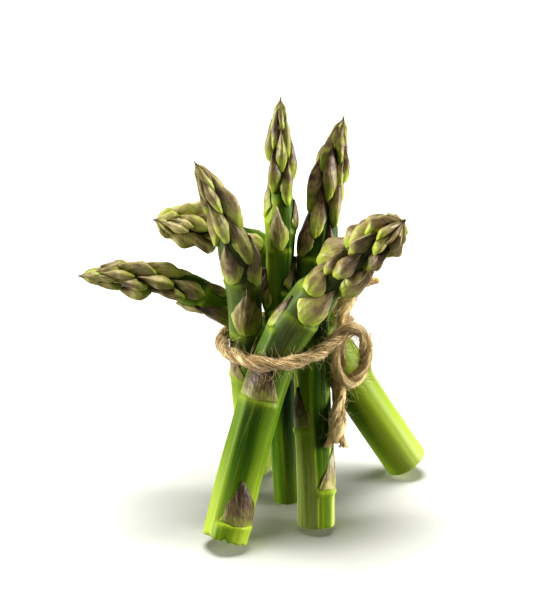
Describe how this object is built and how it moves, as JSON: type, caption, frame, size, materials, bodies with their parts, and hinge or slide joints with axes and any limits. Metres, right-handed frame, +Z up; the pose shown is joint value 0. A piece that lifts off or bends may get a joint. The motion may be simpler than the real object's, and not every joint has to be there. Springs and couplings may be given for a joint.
{
  "type": "bundle of asparagus",
  "caption": "Short-cut green asparagus spears tied once round the middle with jute twine in a half bow, standing on their cut feet with the tips spread.",
  "frame": {"origin": "on the surface that the cut feet stand on, under the middle of the spears' box", "axes": "+Z up along the bunch, +X to the right and +Y to the back as the twine's loop hangs at the right of the front"},
  "size_m": [0.119, 0.0732, 0.1424],
  "materials": {
    "stem_skin": "fresh green skin, half gloss with a thin wax bloom",
    "tip_scales": "closed purple-green bud scales, half matt",
    "scale_leaf": "purple-brown scale leaves with a lime base, half matt",
    "jute": "twisted natural jute, matt and hairy"
  },
  "bodies": {
    "root": {"spear_a_stem": "stem_skin", "spear_a_tip": "tip_scales", "spear_a_scale_1": "scale_leaf", "spear_a_scale_2": "scale_leaf", "spear_a_scale_3": "scale_leaf", "spear_a_scale_4": "scale_leaf", "spear_a_scale_5": "scale_leaf", "spear_a_scale_6": "scale_leaf", "spear_a_scale_7": "scale_leaf", "spear_b_stem": "stem_skin", "spear_b_tip": "tip_scales", "spear_b_scale_1": "scale_leaf", "spear_b_scale_2": "scale_leaf", "spear_b_scale_3": "scale_leaf", "spear_b_scale_4": "scale_leaf", "spear_b_scale_5": "scale_leaf", "spear_b_scale_6": "scale_leaf", "spear_b_scale_7": "scale_leaf", "spear_c_stem": "stem_skin", "spear_c_tip": "tip_scales", "spear_c_scale_1": "scale_leaf", "spear_c_scale_2": "scale_leaf", "spear_c_scale_3": "scale_leaf", "spear_c_scale_4": "scale_leaf", "spear_c_scale_5": "scale_leaf", "spear_c_scale_6": "scale_leaf", "spear_c_scale_7": "scale_leaf", "spear_d_stem": "stem_skin", "spear_d_tip": "tip_scales", "spear_d_scale_1": "scale_leaf", "spear_d_scale_2": "scale_leaf", "spear_d_scale_3": "scale_leaf", "spear_d_scale_4": "scale_leaf", "spear_d_scale_5": "scale_leaf", "spear_d_scale_6": "scale_leaf", "spear_d_scale_7": "scale_leaf", "spear_e_stem": "stem_skin", "spear_e_tip": "tip_scales", "spear_e_scale_1": "scale_leaf", "spear_e_scale_2": "scale_leaf", "spear_e_scale_3": "scale_leaf", "spear_e_scale_4": "scale_leaf", "spear_e_scale_5": "scale_leaf", "spear_e_scale_6": "scale_leaf", "spear_e_scale_7": "scale_leaf", "spear_f_stem": "stem_skin", "spear_f_tip": "tip_scales", "spear_f_scale_1": "scale_leaf", "spear_f_scale_2": "scale_leaf", "spear_f_scale_3": "scale_leaf", "spear_f_scale_4": "scale_leaf", "spear_f_scale_5": "scale_leaf", "spear_f_scale_6": "scale_leaf", "spear_f_scale_7": "scale_leaf", "twine_wrap": "jute", "twine_knot": "jute", "twine_loop": "jute", "twine_tail_upper": "jute", "twine_tail_front": "jute"}
  },
  "joints": []
}
